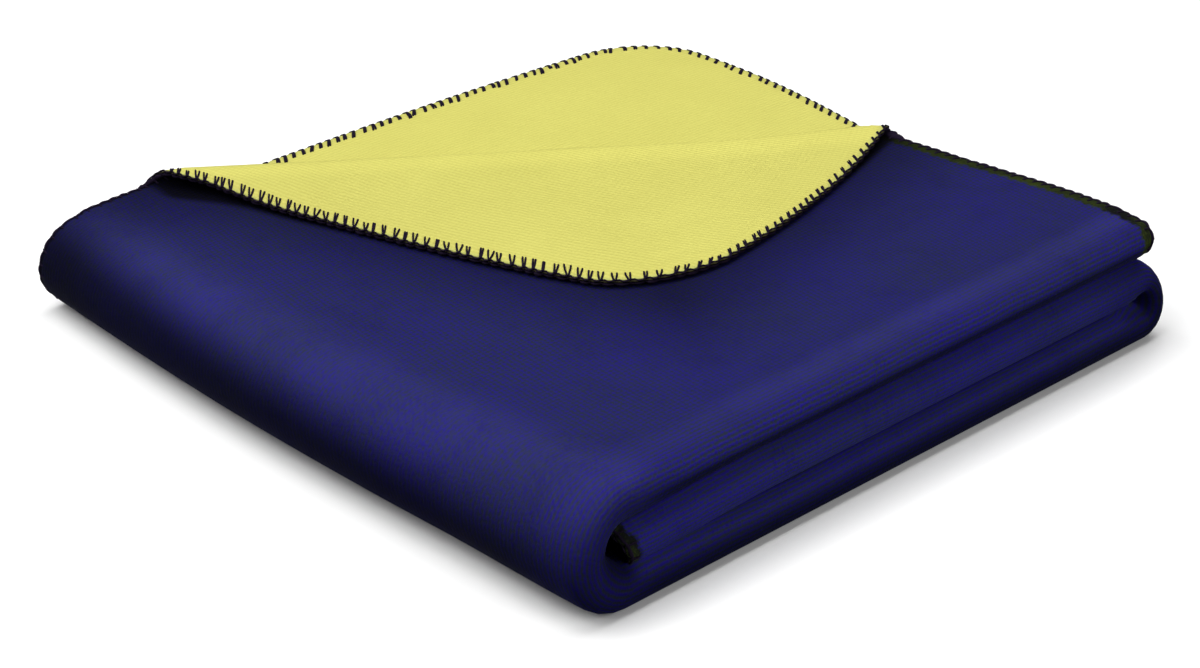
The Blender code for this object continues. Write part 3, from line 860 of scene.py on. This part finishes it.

# The same round the turned corner, for its painted shadow and the painted shade in the hollow under it, where
# the reaches are lengths beyond its edges
CORNER_SHADOW_REACH = (-0.03, 0.145)
SIDE_HOLLOW_REACH = (0.023, 0.037)
WIDENED_BY = 0.036  # how much further the hollow under its long edge reaches by the cloth's long edge
WIDENED_ACROSS = (-0.02, 0.11)
SIDE_HOLLOW_ALONG = (0.541, 0.556)
SIDE_HOLLOW_SKEW = 0.1  # how much further along that is for each bit across
SIDE_HOLLOW_ACROSS = (0.14, 0.24)
END_HOLLOW_REACH = (0.0140, 0.0235)
END_HOLLOW_SKEW = 0.05  # how much further that is for each bit along
END_HOLLOW_ALONG = (0.08, 0.14)

# The same on the front crease, for its painted light and shade. A share says how much lighter the navy is
# painted there, and less than 0 is darker, as painted shade
NEAR_CREASE = (HALF_WIDTH - 0.018, HALF_WIDTH + 0.004)
PAST_CREASE = (HALF_WIDTH - 0.010, HALF_WIDTH + 0.012)
FAR_PAST_CREASE = (HALF_WIDTH + 0.004, HALF_WIDTH + 0.018)
TOP_FRONT = (HALF_WIDTH - 0.013, HALF_WIDTH - 0.001)
TOP_LINE = (HALF_WIDTH - 0.001, HALF_WIDTH + 0.004)
TOP_RUN_END = (LOOP_START - 0.07, LOOP_START + 0.01)
BOTTOM_RUN_END = (BEND_START, BEND_END)
MIDDLE_RUN_START = (BEND_START, BEND_END + 0.1)
NEAR_CREASE_LIGHT = 0.06
TOP_FRONT_LIGHT = 0.70
TOP_LINE_LIGHT = -1.20
BOTTOM_RUN_LIGHTS = (-0.66, 0.95, 0.75)  # on all of the run, more past the crease, and more far past it
MIDDLE_RUN_LIGHTS = (0.75, 1.35, 1.10)


def weave(paint, along, across, flat):
    """The cloth's pattern: fine ribs along its length crossed by rows, which break them into dots, and the
    streaks of the brushed pile. Gives the ribs and the rows from -1 to 1, and the streaks from 0 to 1.

    Ribs and rows are sines of the place across and along, which noise bends a little. The ribs lie further
    apart on the crease, where the cloth is stretched."""
    wander = paint.noise(flat, 16.0, detail=3.0) * 6.0
    over_crease = paint.limit((across - (HALF_WIDTH - CREASE_HALF)) * (0.5 / CREASE_HALF))
    drawn = across + over_crease * (2 * CREASE_HALF * CREASE_STRETCH)
    rib = paint.sine(drawn * RIB_TURNS + wander)
    row = paint.sine((along - across * ROW_SKEW) * ROW_TURNS + wander)
    aside = along * BRUSH_COSINE - across * BRUSH_SINE
    ahead = along * BRUSH_SINE + across * BRUSH_COSINE
    slanted = paint.node("CombineXYZ", {0: aside * STREAKS_ACROSS, 1: ahead * STREAKS_ALONG})
    streak = paint.noise(slanted, 1.0, detail=2.0)
    return rib, row, streak


def beyond(along, across, place, square):
    """How far a point lies beyond the line that goes through the place, square to the given direction."""
    return (along - place[0]) * square[0] + (across - place[1]) * square[1]


def painted_corner_shadow(paint, along, across, outer):
    """Painted shadow and shade round the turned corner: the navy painted darker for some way beyond its two
    edges, in their lee, and darkest in the hollow close under them, near the cloth's long edge and near its
    end."""
    from_side_leg = beyond(along, across, SIDE_LEG_PLACE, SIDE_LEG_SQUARE)
    from_end_leg = beyond(along, across, END_LEG_PLACE, END_LEG_SQUARE)
    further = paint.math("MAXIMUM", from_side_leg, from_end_leg)
    # The turned corner's painted shadow on the navy beside it
    painted_shadow = paint.fade(further, *CORNER_SHADOW_REACH) * outer
    widened = paint.fade(across, *WIDENED_ACROSS) * WIDENED_BY
    side_hollow = paint.fade(from_side_leg - widened, *SIDE_HOLLOW_REACH)
    side_hollow = side_hollow * paint.fade(along - across * SIDE_HOLLOW_SKEW, *SIDE_HOLLOW_ALONG)
    side_hollow = side_hollow * paint.fade(across, *SIDE_HOLLOW_ACROSS)
    end_hollow = paint.fade(from_end_leg - along * END_HOLLOW_SKEW, *END_HOLLOW_REACH)
    end_hollow = end_hollow * paint.fade(along, *END_HOLLOW_ALONG)
    hollow = paint.math("MAXIMUM", side_hollow, end_hollow) * outer
    return (1.0 - painted_shadow * CORNER_SHADOW_DARK) * (1.0 - hollow * HOLLOW_DARK)


def painted_crease_light_and_shade(paint, along, across, outer):
    """Painted light and shade on the front crease: the navy painted lighter on the top run's front, with a
    thin painted dark line where it meets the middle run, lighter down the middle run's front, and lighter up
    the bottom run's."""
    near = paint.step(across, *NEAR_CREASE) * outer
    past = paint.step(across, *PAST_CREASE)
    far_past = paint.step(across, *FAR_PAST_CREASE)
    on_top = paint.fade(along, *TOP_RUN_END)
    on_bottom = (1.0 - outer) * paint.fade(along, *BOTTOM_RUN_END)
    on_middle = paint.step(along, *MIDDLE_RUN_START)
    front = paint.step(across, *TOP_FRONT) * TOP_FRONT_LIGHT
    line = paint.step(across, *TOP_LINE) * TOP_LINE_LIGHT
    shade = (1.0 + near * NEAR_CREASE_LIGHT) * (1.0 + (front + line) * on_top)
    all_over, more, most = BOTTOM_RUN_LIGHTS
    shade = shade * (1.0 + on_bottom * (past * past * more + far_past * most + all_over))
    all_over, more, most = MIDDLE_RUN_LIGHTS
    return shade * (1.0 + on_middle * (past * more + far_past * most + all_over))


def painted_light_and_shade(paint, along, across):
    """Painted light and shade on the navy, as a share to scale its colour by: painted shade down the loop and
    by the cloth's long edge, and in the pocket of the tight bend and in the loop's mouth. The turned corner
    and the crease have painted shadow, light and shade of their own."""
    outer = paint.fade(along, *OUTSIDE_END)
    off_front = 1.0 - paint.step(across, *BY_FRONT) * FRONT_SPARED
    down_loop = paint.step(along - across * LOOP_SKEW, *DOWN_LOOP) * outer * off_front
    by_long_edge = paint.fade(across, *BY_LONG_EDGE) * outer
    in_bend = paint.band(along, *BEND_ALONG) * paint.step(across, *BEND_ACROSS)
    in_bend = in_bend * (BEND_DARK + paint.step(across, *BEND_FAR) * BEND_FAR_DARK)
    in_mouth = paint.band(along, *MOUTH_ALONG) * paint.step(across, *MOUTH_ACROSS)
    shade = (1.0 - down_loop * LOOP_DARK) * (1.0 - by_long_edge * LONG_EDGE_DARK)
    shade = shade * painted_corner_shadow(paint, along, across, outer) * painted_crease_light_and_shade(paint, along, across, outer)
    return shade * (1.0 - in_bend) * (1.0 - in_mouth * MOUTH_DARK) * PILE_LIGHT


def navy_face():
    """The navy face: bright blue dots on a dark slate ground, both with a painted highlight on the shoulders
    of the loop and of the front crease. The very edge is darker. Along the cloth's two ends, the stitches
    draw some of the yellow side's pile over, so a toothed band there shows it, painted dark olive as yellow
    in shade. The colour is then scaled by the painted light and shade of the pile."""
    paint = Paint("navy_face")
    along, across, depth, flat = paint.numbers("flat")
    rib, row, streak = weave(paint, along, across, flat)
    speck = paint.noise(flat, 420.0, detail=2.0)
    cloud = paint.noise(flat, 9.0, detail=3.0)
    bent = paint.step(across, *BENT_ACROSS)
    row = row * (1.0 - paint.step(along, *ROWS_END) * ROWS_FAINT)
    blue = rib * (0.21 + bent * 0.27) + row * (0.34 - bent * 0.18)
    blue = blue + (speck - 0.5) * 1.8 + (streak - 0.5) * 0.9 + (cloud - 0.5) * 0.6
    ground = paint.colour(paint.limit(blue + 0.42), SLATE, BLUE)
    # A painted highlight on the shoulders of the loop and of the front crease
    by_loop = paint.near(along, SHOULDER_LIGHT_ALONG, *SHOULDER_LIGHT_HALF_ALONG)
    by_crease = paint.near(across, SHOULDER_LIGHT_ACROSS, *SHOULDER_LIGHT_HALF_ACROSS)
    on_top = 1.0 - paint.step(along, *SHOULDER_LIGHT_TOP) * SHOULDER_LIGHT_TOP_LOSS
    on_top = on_top - paint.step(along, LOOP_START, LOOP_END) * SHOULDER_LIGHT_LOOP_LOSS
    painted_highlight = paint.limit(by_loop + by_crease * on_top) * (cloud * 0.9 + 0.1)
    ground = paint.colour(painted_highlight, ground, paint.colour(paint.limit(blue + 0.45), LIT_SLATE, LIT_BLUE))
    patch = paint.noise(flat, 30.0, detail=3.0)
    ground = paint.colour(paint.limit((streak - 0.5) * 0.5 + (patch - 0.5) * 0.6), ground, DEEP_NAVY)

    near_end, far_end = END_BAND
    inside = paint.step(along, LENGTH - far_end, LENGTH - near_end)
    at_end = paint.fade(along, near_end, far_end) + inside
    fray = (speck - 0.5) * 0.004 + (cloud - 0.5) * 0.006
    tooth = paint.sine(across * TOOTH_TURNS) * 0.0011 + paint.sine(across * (TOOTH_TURNS * 0.5)) * 0.0008
    past_edge = depth - at_end * (BAND_DEPTH + tooth) + inside * INSIDE_BAND_LOSS - EDGE_BAND_DEPTH + fray
    drawn_over = paint.limit(paint.noise(flat, 22.0) * 2.4 - 0.9 + (speck - 0.5))
    # At the ends the yellow pile drawn over, painted dark olive as yellow in shade
    edge = paint.colour(at_end, EDGE_NAVY, paint.colour(drawn_over, DARK_OLIVE, OLIVE))
    colour = paint.colour(paint.limit(past_edge * BAND_SHARPNESS), edge, ground)
    # The navy colour scaled by its painted light and shade
    colour = paint.scaled(colour, painted_light_and_shade(paint, along, across))
    normal = paint.bump(rib, 0.00006)
    normal = paint.bump(speck, 0.0005, under=normal)
    return paint.finish(colour, CLOTH_ROUGHNESS, normal)


def yellow_face():
    """The yellow face: a soft pile with faint ribs along the cloth's length, with a painted highlight on the
    crest of the ridge, greener near the edge, painted dark as in shade at the very edge of the top layer and
    on the end that lies inside the folds, and the top layer painted a little darker than the second, more so
    away from the cloth's end."""
    paint = Paint("yellow_face")
    along, across, depth, flat = paint.numbers("flat")
    rib, row, streak = weave(paint, along, across, flat)
    speck = paint.noise(flat, 500.0, detail=2.0)
    cloud = paint.noise(flat, 11.0, detail=3.0)
    tone = rib * 0.22 + row * 0.08 + (speck - 0.5) * 0.8 + (streak - 0.5) * 0.3 + (cloud - 0.5) * 0.5
    ground = paint.colour(paint.limit(tone + 0.5), LOW_YELLOW, HIGH_YELLOW)
    ground = paint.colour(paint.step(depth, *GREEN_DEPTH), GREEN_YELLOW, ground)
    outer = paint.fade(across, *TOP_LAYER_END)
    # Painted shade at the very edge of the top layer
    ground = paint.colour(paint.step(depth, *DARK_DEPTH) + 1.0 - outer, EDGE_SHADE_YELLOW, ground)
    # A painted highlight on the ridge's crest, and the top layer painted darker as painted shade, more so
    # away from the cloth's end
    past = CORNER_DEPTH - along * float(CORNER_NORMAL[0]) - across * float(CORNER_NORMAL[1])
    crest_highlight = paint.near(past, CREST_PLACE, *CREST_HALF)
    light = 0.960 + outer * (crest_highlight * 0.080 - paint.step(along, 0.1, 0.35) * 0.04 - 0.055)
    ground = paint.scaled(ground, light)
    # The end of the cloth inside the folds painted dark, as painted shade
    colour = paint.colour(paint.step(along, *SHADED_BURIED_END), ground, SHADED_BURIED_YELLOW)
    normal = paint.bump(rib, 0.00012)
    normal = paint.bump(speck, 0.0004, under=normal)
    return paint.finish(colour, CLOTH_ROUGHNESS, normal)


def dark_yarn():
    """The yarn of the stitches: matt, and very dark purple."""
    paint = Paint("dark_yarn")
    place = paint.node("TexCoord", {}, output="Object")
    fibre = paint.noise(place, 1400.0, detail=2.0)
    colour = paint.colour(fibre, YARN_LOW, YARN_HIGH)
    normal = paint.bump(fibre, 0.0003)
    return paint.finish(colour, YARN_ROUGHNESS, normal)


# The yarn

def tubes(points, radii, sides):
    """Round tubes along paths: an array of tubes by stations by three. Each station has a ring square to the
    path, its first direction the path's cross product with a fixed slanted one, and the tubes' ends are
    closed fans.

    Gives their points and triangles."""
    ahead = np.gradient(points, axis=1)
    ahead = ahead / np.linalg.norm(ahead, axis=2, keepdims=True)
    first = np.cross(ahead, [0.3, 0.2, 0.93])
    first = first / np.linalg.norm(first, axis=2, keepdims=True)
    second = np.cross(ahead, first)
    angles = 2 * math.pi * np.arange(sides) / sides
    spokes = np.cos(angles)[:, None] * first[:, :, None] + np.sin(angles)[:, None] * second[:, :, None]
    skin = points[:, :, None] + radii[:, :, None, None] * spokes
    count, stations = points.shape[:2]
    numbers = np.arange(count * stations * sides).reshape(count, stations, sides)
    round_it = np.concatenate([numbers, numbers[:, :, :1]], axis=2)
    a, b, c, d = round_it[:, :-1, :-1], round_it[:, 1:, :-1], round_it[:, 1:, 1:], round_it[:, :-1, 1:]
    parts = [np.stack([a, c, b], axis=-1).reshape(-1, 3), np.stack([a, d, c], axis=-1).reshape(-1, 3)]
    start, end = numbers[:, 0], numbers[:, -1]
    for k in range(1, sides - 1):
        parts.append(np.stack([start[:, 0], start[:, k + 1], start[:, k]], axis=-1))
        parts.append(np.stack([end[:, 0], end[:, k], end[:, k + 1]], axis=-1))
    return skin.reshape(-1, 3), np.concatenate(parts)


def make_chain(shift, rim, yarn):
    """The chain of yarn along the edge, on its navy side: a flat rope that swells between the stitches, each
    time by a slightly different share. It is slimmer beyond the turned corner, and bunches up where it goes
    over the ridge.

    Its section is an ellipse: each point is a depth in from the edge and a lift from the cloth's middle."""
    stations = rim.count * CHAIN_STATIONS
    length = rim.length_at(np.arange(stations) / CHAIN_STATIONS)
    flat, out = rim.at(length)
    uneven = np.random.default_rng(3).normal(1, CHAIN_UNEVEN, rim.count)
    phase = rim.phase_at(length)
    past = CORNER_DEPTH - flat @ CORNER_NORMAL
    knob = KNOB_SWELL * np.exp(-(((past - KNOB_PLACE) / KNOB_REACH) ** 2)) * out[:, 0] ** 2
    slim = mix(CHAIN_SLIM, 1, ease(past / SLIM_REACH))
    size = mix(CHAIN_WAIST, 1, phase) * np.repeat(uneven, CHAIN_STATIONS) * slim + knob
    middle = CHAIN_SWING * phase - CHAIN_DEPTH
    rows = []
    for angle in 2 * math.pi * np.arange(CHAIN_SIDES) / CHAIN_SIDES:
        place = flat + out * (middle + CHAIN_HALF_WIDTH * size * math.cos(angle))[:, None]
        rows.append(standing(place, CHAIN_LIFT + CHAIN_HALF_HEIGHT * size * math.sin(angle)))
    numbers = np.arange(CHAIN_SIDES * stations).reshape(CHAIN_SIDES, stations)
    triangles = closed_strip(np.vstack([numbers, numbers[:1]]))
    chain = add_piece("edge_chain", np.concatenate(rows) + shift, triangles, np.zeros(len(triangles)), [yarn])
    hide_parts("edging")
    return chain


def on_edge(rim, length, depth, lift):
    """The places of paths of yarn: arrays of lengths along the edge, depths in from it and lifts."""
    flat, out = rim.at(length.ravel())
    flat = flat - out * depth.ravel()[:, None]
    return standing(flat, lift.ravel()).reshape(*length.shape, 3)


class Stitches:
    """What the strands and the links share, a value for each stitch: whether it is on the second layer, how
    squarely its edge faces along the cloth, how far the edge stands out beside it, its yarn's radius, and the
    random draws."""

    def __init__(self, rim):
        self.rim = rim
        self.random = np.random.default_rng(7)
        self.flat, out = rim.at(rim.stitches)
        self.second_layer = self.flat[:, 1] > HALF_WIDTH
        self.at_end = out[:, 0] ** 2
        self.out_by = scallop(self.flat, out)[:, None]
        self.radius = np.where(self.second_layer, INNER_STRAND_RADIUS, STRAND_RADIUS)[:, None]

    def by_edge(self, inner_long, inner_end, long, end):
        """A value that differs on the second layer and the top one, and on their long and end edges."""
        inner = mix(inner_long, inner_end, self.at_end)
        return np.where(self.second_layer, inner, mix(long, end, self.at_end))

    def surface(self, inwards):
        """How far off the cloth's middle a strand runs, so far in from the edge: on its face, partly sunk."""
        pinched = edge_lift(np.maximum(inwards, LEAST_INWARDS), np.zeros_like(inwards))
        return pinched + self.radius * STRAND_PROUD

    def strands(self):
        """The paths of the strands, three to a stitch: two on the yellow face and one on the navy face.

        A strand starts at the cloth's rounded edge, most of its radius proud, follows it inwards and dives at
        its end. The two on the yellow face lean apart more and more, and slant together as their edge's
        stitches do. Beyond the turned corner they are shorter."""
        count = self.rim.count
        random = self.random
        past = CORNER_DEPTH - self.flat @ CORNER_NORMAL
        on_corner = ease((past - SHOWN_START) / mix(SHOWN_LENGTH, SHOWN_END_LENGTH, self.at_end))
        shown = np.where(self.second_layer, 1, mix(LEAST_SHOWN, 1, on_corner))
        depth = self.by_edge(INNER_STITCH_DEPTH, INNER_END_STITCH_DEPTH, STITCH_DEPTH, END_STITCH_DEPTH)
        depth = depth * shown * random.normal(1, 0.09, count)
        slant = self.by_edge(INNER_STITCH_SLANT, INNER_END_STITCH_SLANT, STITCH_SLANT, END_STITCH_SLANT)
        slant = slant + random.normal(0, 0.06, count)
        spread = STITCH_SPREAD * np.clip(random.normal(0.70, 0.45, (2, count)), 0.05, 1.7)
        spread = spread * np.where(self.second_layer, 0.3, shown * (1 - 0.5 * self.at_end))
        centre = self.rim.stitches[:, None]
        inwards = depth[:, None] * STRAND_SHARES
        paths = []
        for away, side in zip(spread, (-1, 1)):
            lean = side * away[:, None] * ease((STRAND_SHARES + 0.25) / 1.1) + slant[:, None] * inwards
            length = centre + side * 0.5 * STRAND_RADIUS + lean
            paths.append(on_edge(self.rim, length, inwards + self.out_by / 2, -self.surface(inwards)))
        inwards = np.outer(NAVY_STITCH_DEPTH * random.normal(1, 0.1, count), STRAND_SHARES)
        length = centre + random.normal(0, 0.08, count)[:, None] * inwards
        paths.append(on_edge(self.rim, length, inwards + self.out_by / 2, self.surface(inwards)))
        return np.concatenate(paths)

    def links(self):
        """The paths of the links, two from each stitch to the next. A link sags to the navy side, most about
        a third of the way along, and stands out from the edge as it does so. On the second layer it sags
        further and stands out less for it."""
        count = self.rim.count
        share = np.linspace(0, 1, LINK_STATIONS)
        length = self.rim.length_at(np.arange(count)[:, None] + share)
        paths = []
        for sag in self.random.uniform(0.2, 1.0, (2, count)):
            most = np.where(self.second_layer, 1.9, 0.5 + 0.6 * sag - 0.3 * self.at_end)[:, None]
            sink = np.sin(math.pi * np.minimum(share / 0.65, 1)) * most
            stand_out = np.where(self.second_layer[:, None], 0.4 * sink - 0.2, sink - 0.2)
            paths.append(on_edge(self.rim, length, -self.out_by * stand_out, EDGE_HALF * (0.9 * sink - 1.0)))
        return np.concatenate(paths)


def make_stitches(shift, rim, yarn):
    """The stitches: each comes over the edge and parts into two strands that enter the yellow face, one
    strand goes down the navy face, and two links of yarn run along the edge to the next stitch. The strands
    are one piece and the links another, so that each stays small enough."""
    stitches = Stitches(rim)
    strands = stitches.strands()
    links = stitches.links()
    strand_radii = np.tile(stitches.radius * STRAND_TAPER, (3, 1))
    link_radii = np.tile(stitches.radius * LINK_SLIMNESS, (2, LINK_STATIONS))
    pieces = []
    for name, paths, radii in (("edge_stitches", strands, strand_radii), ("edge_links", links, link_radii)):
        points, triangles = tubes(paths, radii, sides=5)
        piece = add_piece(name, points + shift, triangles, np.zeros(len(triangles)), [yarn])
        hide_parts("edging")
        pieces.append(piece)
    return pieces


# The room

def make_floor():
    """A plain white floor, wide enough to fill the picture."""
    half = FLOOR_HALF_WIDTH
    mesh = bpy.data.meshes.new("floor")
    corners = [(-half, -half, 0), (half, -half, 0), (half, half, 0), (-half, half, 0)]
    mesh.from_pydata(corners, [], [(0, 1, 2, 3)])
    paint = Paint("floor")
    paint.shader.inputs["Base Color"].default_value = FLOOR_WHITE
    paint.shader.inputs["Roughness"].default_value = 1.0
    paint.shader.inputs["Specular IOR Level"].default_value = 0.0
    mesh.materials.append(paint.material)
    floor = bpy.data.objects.new("floor", mesh)
    bpy.context.scene.collection.objects.link(floor)
    floor.visible_diffuse = False  # it takes shadows, and throws no light back at the blanket


def make_light(name, azimuth, elevation, power):
    """A square area light at a set distance from the blanket's middle that looks at it. Azimuth 0 is on the
    side of the front crease, -Y, and 90 on the side of the tight bend, +X."""
    light = bpy.data.lights.new(name, "AREA")
    light.shape = "SQUARE"
    light.size = LIGHT_SIZE
    light.energy = power
    lamp = bpy.data.objects.new(name, light)
    around = math.radians(azimuth)
    up = math.radians(elevation)
    reach = LIGHT_DISTANCE * math.cos(up)
    lamp.location = (reach * math.sin(around), -reach * math.cos(around), LIGHT_DISTANCE * math.sin(up))
    lamp.rotation_euler = (math.pi / 2 - up, 0, around)
    bpy.context.scene.collection.objects.link(lamp)


def make_world():
    """A faint white light from all round."""
    world = bpy.data.worlds.new("world")
    world.use_nodes = True
    background = world.node_tree.nodes["Background"]
    background.inputs["Color"].default_value = (1, 1, 1, 1)
    background.inputs["Strength"].default_value = WORLD_STRENGTH
    bpy.context.scene.world = world


def make_camera(shift):
    """The camera, where the photograph was taken from."""
    camera = bpy.data.cameras.new("camera")
    camera.sensor_width = CAMERA_SENSOR
    camera.lens = CAMERA_LENS
    eye = bpy.data.objects.new("camera", camera)
    eye.location = np.array(CAMERA_PLACE) + shift
    eye.rotation_euler = (math.radians(CAMERA_TILT), 0, math.radians(CAMERA_TURN))
    bpy.context.scene.collection.objects.link(eye)
    bpy.context.scene.camera = eye


def place_of_solids():
    """How far the folded cloth is moved, so that its loop and its crease lie where the solid has them."""
    flat = flat_grid().reshape(-1, 2)
    points = standing(flat, np.full(len(flat), HALF_THICKNESS))
    low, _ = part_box("cloth")
    loop_x = points[:, 0].min()
    crease_y = points[flat[:, 0] < LOOP_START, 1].min()
    return np.array([low[0] - loop_x, low[1] - crease_y, 0.0])


shift = place_of_solids()
yarn = dark_yarn()
cloth, rim = make_cloth(shift, navy_face(), yellow_face())
chain = make_chain(shift, rim, yarn)
stitches = make_stitches(shift, rim, yarn)

make_floor()
make_light("top", 0, 90, power=22)
make_light("front", 0, 28, power=36)
make_light("left", 270, 45, power=42)
make_light("left high", 270, 65, power=15)
make_light("back left", 220, 62, power=42)
make_light("right high", 90, 65, power=38)
make_world()
bpy.context.scene.view_settings.view_transform = "Standard"
make_camera(shift)
